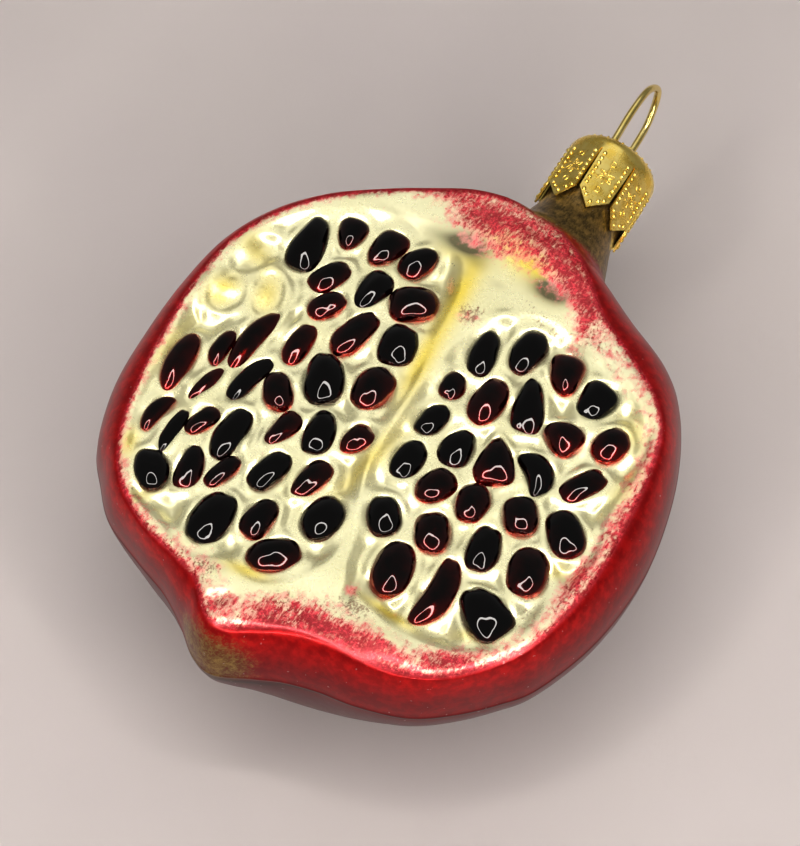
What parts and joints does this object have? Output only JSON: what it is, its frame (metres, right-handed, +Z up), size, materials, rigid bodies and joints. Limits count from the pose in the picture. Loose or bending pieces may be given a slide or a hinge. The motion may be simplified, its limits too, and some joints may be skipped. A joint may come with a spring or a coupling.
{
  "type": "hanging glass ornament shaped as an open pomegranate",
  "caption": "Blown-glass hanging ornament moulded as half of a cut pomegranate, with raised seeds on its face, a stamped metal cap and a wire loop.",
  "frame": {"origin": "on the small flat spot of the rounded back, under the middle of the cut face", "axes": "+Z up, square to the cut face; +Y from the flower end along the neck to the wire loop; +X to the right, seen from above with the loop away from the viewer"},
  "size_m": [0.0649, 0.0949, 0.031],
  "materials": {
    "painted_glass": "silvered inside and lacquered outside: crimson rind, pearly cream pith, glossy dark red seeds, olive neck",
    "gold_sheet": "gold-coloured stamped sheet, satin to bright",
    "gold_wire": "bright drawn wire"
  },
  "bodies": {
    "root": {"glass_body": "painted_glass", "cap": "gold_sheet", "hanger_wire": "gold_wire"}
  },
  "joints": []
}
